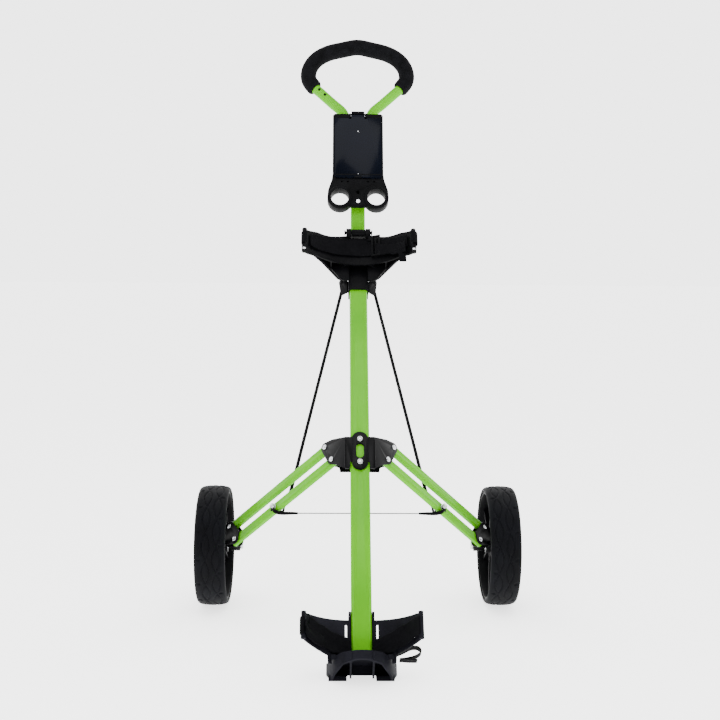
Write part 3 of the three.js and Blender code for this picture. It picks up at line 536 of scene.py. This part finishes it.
TREAD_HALF = 24.5
TREAD_DEPTH = 1.5
PITCHES = 14
TYRE_INNER = 257.5
TYRE_WIDTH = 61
TYRE_SEAT = 108


def groove(angle, across):
    """How deep the tread is cut at a place, in mm: two rows of leaf outlines, and shoulder nicks."""
    v = across / TREAD_HALF
    depth = 0.0
    for row, shift in ((-0.42, 0.0), (0.42, 0.5)):
        t = (angle * PITCHES / (2 * math.pi) + shift) % 1 - 0.5
        half = 0.3 * math.cos(t * math.pi / 0.94) if abs(t) < 0.47 else 0.0
        off = min(abs(v - row - half + 0.12), abs(v - row + half + 0.12))
        depth = max(depth, min(1, max(0, (0.075 - off) / 0.04)))
        if abs(v) > 0.72 and v * row > 0:
            depth = max(depth, min(1, max(0, (0.055 - abs(abs(t) - 0.5)) / 0.02)))
    return TREAD_DEPTH * depth


def tyre_mesh(steps=480):
    """A solid tyre about x with its tread cut in, closed at its seat on the rim."""
    width, radius, seat = TYRE_WIDTH, WHEEL_RADIUS, TYRE_SEAT
    x0, x1 = TYRE_INNER, TYRE_INNER + width
    side_in = [(seat, x0 + 2), (seat + 2, x0 + 0.4), (radius - 9, x0 + 0.2), (radius - 6.2, x0 + 1.2),
               (radius - 4.4, x0 + 2.8), (radius - 3.0, x0 + 5.4)]
    crown = [2 * k / 30 - 1 for k in range(31)]
    tread = [(radius - 0.1 - 2.0 * abs(v) ** 2.4, x0 + width / 2 + v * (width / 2 - 8)) for v in crown]
    side_out = [(r, x0 + x1 - x) for r, x in reversed(side_in)]
    profile = side_in + tread + side_out
    verts, faces = [], []
    for i in range(steps):
        a = 2 * math.pi * i / steps
        for r, x in profile:
            depth = groove(a, x - (x0 + x1) / 2) if r > radius - 2.3 else 0
            verts.append((x, (r - depth) * math.cos(a), (r - depth) * math.sin(a)))
    count = len(profile)
    for i in range(steps):
        for k in range(count):
            a, b = i * count + k, i * count + (k + 1) % count
            c, d = (i + 1) % steps * count + k, (i + 1) % steps * count + (k + 1) % count
            faces.append((a, b, d, c))
    return reshaped(mesh_of(verts, faces))


for side in ("right", "left"):
    axle = mirror(side) @ Matrix.Translation((0, AXLE.y, AXLE.z))
    tyre = add(side + "_tread_tyre", tyre_mesh(), TYRE, side + "_wheel", axle)
    smooth(tyre, 40)
    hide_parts(side + "_tyre")

# ------------------------------------------------------------------ bag straps

CRADLE_HIGH = (136, -40)     # each cradle's radius, and the y of its front
CRADLE_LOW = (115, -12)
STRAP = 1.8                  # the webbing's thickness


def on_arc(x, radius, front, depth):
    """A plan-view point at x on a cradle's curve, moved depth towards the bag."""
    centre = front - radius
    angle = math.asin(max(-1, min(1, x / radius)))
    r = radius - depth
    return Vector((r * math.sin(angle), centre + r * math.cos(angle), 0))


def band_strap(name, cradle, edges, depth, body, ripple=0.0, rows=40, across=7, replaced=()):
    """Webbing lying in a cradle. edges: (x, lower z, upper z) from left to right."""
    points = []
    xs = [e[0] for e in edges]
    for i in range(rows + 1):
        x = xs[0] + (xs[-1] - xs[0]) * i / rows
        k = max(j for j in range(len(xs) - 1) if xs[j] <= x + 1e-9)
        t = (x - xs[k]) / (xs[k + 1] - xs[k])
        t = t * t * (3 - 2 * t)
        low = edges[k][1] * (1 - t) + edges[k + 1][1] * t
        high = edges[k][2] * (1 - t) + edges[k + 1][2] * t
        row = []
        for j in range(across + 1):
            v = j / across
            wave = ripple * noise.noise(Vector((x * 0.035, v * 1.6, len(name))))
            place = on_arc(x, *cradle, depth + wave)
            place.z = low + (high - low) * v
            row.append(place)
        points.append(row)
    obj = add(name, ribbon(points, STRAP), WEBBING, body, TUBE)
    soften(obj)
    if replaced:
        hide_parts(*replaced)
    return obj


band_strap("bag_strap", CRADLE_HIGH,
           [(-101, 838, 868), (-92, 838, 874), (-60, 842, 884), (-20, 845, 890), (20, 845, 890), (34, 846, 889)],
           3.0, "carriage", ripple=1.6, replaced=("upper_strap",))
band_strap("bag_strap_fold", CRADLE_HIGH, [(40, 846, 888), (60, 850, 882), (84, 845, 874), (101, 838, 868)],
           3.4, "carriage", ripple=2.4)
band_strap("bag_strap_end", CRADLE_HIGH, [(36, 843, 871), (58, 838, 864), (80, 829, 856), (100, 823, 850)],
           7.0, "carriage", ripple=2.5)
band_strap("toe_strap_left", CRADLE_LOW,
           [(-93, 31, 68), (-72, 22, 60), (-48, 16, 51), (-30, 14, 47), (-19, 14, 40)],
           4.6, "frame", ripple=2.0, replaced=("lower_strap",))
band_strap("toe_strap_right", CRADLE_LOW,
           [(19, 14, 40), (30, 14, 44), (48, 16, 50), (72, 22, 60), (93, 30, 66), (99.5, 31, 66)],
           4.6, "frame", ripple=2.0)
band_strap("toe_strap_end", CRADLE_LOW, [(-101, 36, 58), (-96, 27, 52), (-84, 22, 44), (-70, 20, 38)],
           8.5, "frame", ripple=4.0, rows=24)


def wrap(name, side, post, radius, low, high, body):
    """The strap's turn round the rolled end of a cradle."""
    rows = []
    for i in range(21):
        a = math.radians(-115 + 230 * i / 20)
        x = side * (post[0] + radius * math.cos(a))
        y = post[1] + radius * math.sin(a)
        rows.append([Vector((x, y, low + (high - low) * j / 6)) for j in range(7)])
    obj = add(name, ribbon(rows, STRAP), WEBBING, body, TUBE)
    soften(obj)


for side, sign in (("right", 1), ("left", -1)):
    wrap(side + "_bag_strap_turn", sign, (108, -93), 8.6, 836, 866, "carriage")
wrap("left_toe_strap_turn", -1, (97.5, -66.5), 6.4, 33, 64, "frame")


def strap_loop():
    """The toe strap's spare end, turned back on itself beside the toe."""
    path = spline([(57, -20, 14), (70, -21, 19), (84, -23, 25), (94, -24, 24), (97.5, -24, 18),
                   (90, -23, 12), (74, -21, 8), (62, -20, 6.5), (76, -21, 4), (92, -23, 3)], 5)
    rows = []
    for i, p in enumerate(path):
        sway = 1.5 * noise.noise(Vector((i * 0.08, 3, 0)))
        rows.append([p + Vector((0, 20 * (j / 6 - 0.5), sway * (j / 6 - 0.5))) for j in range(7)])
    obj = add("toe_strap_loop", ribbon(rows, STRAP), WEBBING, "frame", TUBE)
    soften(obj)


strap_loop()


def strap_tail():
    """The bag strap's short end, hanging below the right-hand tip."""
    rows = []
    for i in range(9):
        t = i / 8
        y, z = -78 - 3 * math.sin(2.2 * t), 838 - 36 * t
        rows.append([Vector((86 + 15 * (j / 6 - 0.5) + 2 * t, y, z)) for j in range(7)])
    obj = add("bag_strap_tail", ribbon(rows, STRAP), WEBBING, "carriage", TUBE)
    soften(obj)


strap_tail()


def rounded_box(name, size, place, matrix, material, body, edge=1.0):
    """A moulded block with rounded edges."""
    w, d, h = (s / 2 for s in size)
    verts = [(x, y, z) for x in (-w, w) for y in (-d, d) for z in (-h, h)]
    faces = [(0, 1, 3, 2), (4, 6, 7, 5), (0, 4, 5, 1), (2, 3, 7, 6), (0, 2, 6, 4), (1, 5, 7, 3)]
    mesh = reshaped(mesh_of(verts, faces), lambda work: bmesh.ops.bevel(
        work, geom=work.edges[:], offset=edge, segments=3, profile=0.5, affect="EDGES"))
    obj = add(name, mesh, material, body, matrix @ Matrix.Translation(place))
    smooth(obj, 60)
    return obj


def buckle():
    """A ladder lock: two side bars, three cross bars and a prong, on the bag strap."""
    at = on_arc(37, *CRADLE_HIGH, 6.5)
    turn = TUBE @ Matrix.Translation(at) @ Matrix.Rotation(-math.asin(37 / 136), 4, "Z")
    parts = [("low_bar", (16, 3.6, 4), (0, 0, 843)), ("high_bar", (16, 3.6, 4), (0, 0, 892)),
             ("left_bar", (4.2, 4, 53), (-7.5, 0, 867.5)), ("right_bar", (4.2, 4, 53), (7.5, 0, 867.5)),
             ("middle_bar", (3.4, 4.6, 46), (0, -0.4, 867.5)), ("prong", (8, 5, 13), (-12, 0.5, 889))]
    made = [rounded_box("buckle_" + n, size, Vector(place), turn, PLASTIC, "carriage")
            for n, size, place in parts]
    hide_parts("strap_buckle")


buckle()

# ------------------------------------------------------------------ stay cable

CABLE_SLEEVE_END = 117
CABLE_RADIUS = 1.1
CABLE_Y, CABLE_Z = 128, 347.8


def sleeve_radius(t):
    """The sleeve's taper: fullest about a third of the way from the bolt."""
    return 2.2 + 1.5 * math.sin(math.pi * t ** 0.7)


def cable_half(side):
    """Wire and sleeve. They follow the lower strut at the end and the frame in the middle."""
    flip = mirror(side)
    line = spline([(164.5, 126.4, 353.6), (161.5, 126, 350.6), (155, 127, 348.6), (146, CABLE_Y, CABLE_Z),
                   (131, CABLE_Y, CABLE_Z), (CABLE_SLEEVE_END, CABLE_Y, CABLE_Z)], 6)
    run = [Vector((CABLE_SLEEVE_END * (1 - k / 24), CABLE_Y, CABLE_Z)) for k in range(25)]
    wire = add(side + "_cable", pipe(line[:-1] + run, CABLE_RADIUS, 12), WIRE, None, flip)
    sleeve = add(side + "_cable_sleeve", pipe(line, sleeve_radius, 20), PLASTIC, None, flip)
    for obj in (wire, sleeve):
        smooth(obj, 60)
        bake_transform(obj)


for side in ("right", "left"):
    cable_half(side)
    own = arm(side)
    bolt = STAY_BOLT + Vector((0, -11.3, 0))
    head(side + "_stay_bolt_cap", bolt, own, side + "_lower_arm", 5.2, 2.8)
    rounded_box(side + "_stay_tab", (10, 2, 12), STAY_BOLT + Vector((1, -10, -3.5)), own, STEEL_BLACK,
                side + "_lower_arm", 0.7)
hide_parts("stay_cable")

# ------------------------------------------------------------------ small fittings

for label, z in (("lower", 382), ("upper", 430)):
    head(f"bracket_{label}_cap", Vector((0, -18.2, z)), TUBE, "frame", 5.6, 3.4, socket=True)
for label, z, radius in (("top", 243, 1.4), ("bottom", 141, 1.0)):
    head(f"lid_{label}_stud", Vector((0, -5.4, z)), HANDLE, "lid", radius, 0.7)
for label, x, z in (("outer", -84.5, 361.5), ("inner", -72, 348.8)):
    plug = turned([(0, 0), *domed(3.0, 0.8)], 20)
    stud = add(f"loop_{label}_plug", plug, PLASTIC, "handle",
               HANDLE @ Matrix.Translation((x, 30 - 10.9, z)) @ Matrix.Rotation(math.pi, 4, "X"))
    smooth(stud, 50)
for name, size, place, body, edge in (("hinge_hood", (28.4, 9, 6.4), (0, -3.6, 288.6), "handle", 2.2),
                                      ("lid_frame_low", (96, 1.6, 2.2), (0, -5.5, 139), "lid", 0.5),
                                      ("lid_finger_tab", (16, 2, 3), (0, -5.8, 133.5), "lid", 0.6)):
    rounded_box(name, size, Vector(place), HANDLE, PLASTIC, body, edge)
for side, sign in (("right", 1), ("left", -1)):
    rounded_box(side + "_toe_gusset", (9, 2.4, 9), Vector((sign * 48, -26, 9.5)), TUBE, TOE_PLASTIC,
                "frame", 0.8)
    bead = pipe([Vector((sign * 27.8, -17.2, z)) for z in (373, 388, 402, 416, 430)], 0.9, 12)
    head(side + "_cradle_rivet", Vector((sign * 110, -96.8, 822.5)), TUBE, "carriage", 3.2, 1.8)
    obj = add(side + "_bracket_bead", bead, STEEL_BLACK, "frame", TUBE)
    smooth(obj, 50)
    lip = turned([(18.9, 0), (18.9, -1.8), (20.6, -2.6), (24.5, -2.0), (26.4, 0), (18.9, 0)], 48)
    obj = add(side + "_ball_ring_lip", lip, PLASTIC, "handle",
              HANDLE @ Matrix.Translation((sign * 38.4, -4, 86.5)))
    smooth(obj, 40)

# ------------------------------------------------------------------ stage

FLOOR_HALF = 30          # metres
FLOOR_DROP = 0.0005


def ground():
    """The pale floor."""
    half = FLOOR_HALF
    mesh = mesh_of([(-half, -half, 0), (half, -half, 0), (half, half, 0), (-half, half, 0)], [(0, 1, 2, 3)])
    floor = bpy.data.objects.new("floor", mesh)
    bpy.context.scene.collection.objects.link(floor)
    floor.location.z = -FLOOR_DROP
    shade = Shader("floor_white", 0.9)
    shade.colour(shade.noise(3, 2), (0.3, (0.9, 0.9, 0.9, 1)), (0.7, (0.92, 0.92, 0.92, 1)))
    shade.bsdf.inputs["Emission Color"].default_value = (1, 1, 1, 1)
    shade.bsdf.inputs["Emission Strength"].default_value = 2.0
    mesh.materials.append(shade.material)


def lamp(name, place, target, power, size):
    """A square area light aimed at the target."""
    data = bpy.data.lights.new(name, "AREA")
    data.energy = power
    data.size = size
    obj = bpy.data.objects.new(name, data)
    obj.location = place
    obj.rotation_euler = (Vector(target) - Vector(place)).to_track_quat("-Z", "Y").to_euler()
    bpy.context.scene.collection.objects.link(obj)


ground()


def studio_world(front, back):
    """A white studio, dimmer in front, so that dark parts and glossy edges keep their contrast."""
    world = bpy.data.worlds.new("studio")
    bpy.context.scene.world = world
    world.use_nodes = True
    nodes, links = world.node_tree.nodes, world.node_tree.links
    coords = nodes.new("ShaderNodeTexCoord")
    split = nodes.new("ShaderNodeSeparateXYZ")
    strength = nodes.new("ShaderNodeMapRange")
    strength.interpolation_type = "SMOOTHSTEP"
    for socket, value in (("From Min", -0.5), ("From Max", 0.6), ("To Min", front), ("To Max", back)):
        strength.inputs[socket].default_value = value
    links.new(coords.outputs["Generated"], split.inputs["Vector"])
    links.new(split.outputs["Y"], strength.inputs["Value"])
    background = nodes["Background"]
    background.inputs["Color"].default_value = (1, 1, 1, 1)
    links.new(strength.outputs["Result"], background.inputs["Strength"])


studio_world(0.45, 3.8)
MIDDLE = (0, 0, 0.6)
lamp("key", (-2.2, -2.6, 2.6), MIDDLE, 48, 1.2)
lamp("fill", (2.4, -2.2, 1.8), MIDDLE, 30, 1.2)
lamp("top", (0, -1.0, 2.6), MIDDLE, 34, 1.4)

# The camera stands in front of the toe, slightly to one side, and looks 5 degrees down.
# Distances are in metres, the sensor and lens in mm.
CAMERA_DISTANCE = 1.871
CAMERA_HEIGHT = 0.6996
CAMERA_TILT = math.radians(85)
CAMERA_TURN = math.radians(-1.6)
CAMERA_PAN = math.radians(0.23)
CAMERA_ROLL = math.radians(0.45)
SENSOR_WIDTH = 36
LENS = 57.9
data = bpy.data.cameras.new("camera")
data.sensor_width = SENSOR_WIDTH
data.lens = LENS
camera = bpy.data.objects.new("camera", data)
pivot = Matrix.Translation((0, FOOT_Y * MM, 0))
camera.matrix_world = (pivot @ Matrix.Rotation(CAMERA_TURN, 4, "Z")
                       @ Matrix.Translation((0, -CAMERA_DISTANCE, CAMERA_HEIGHT))
                       @ Matrix.Rotation(CAMERA_PAN, 4, "Z") @ Matrix.Rotation(CAMERA_TILT, 4, "X")
                       @ Matrix.Rotation(CAMERA_ROLL, 4, "Z"))
bpy.context.scene.collection.objects.link(camera)
bpy.context.scene.camera = camera
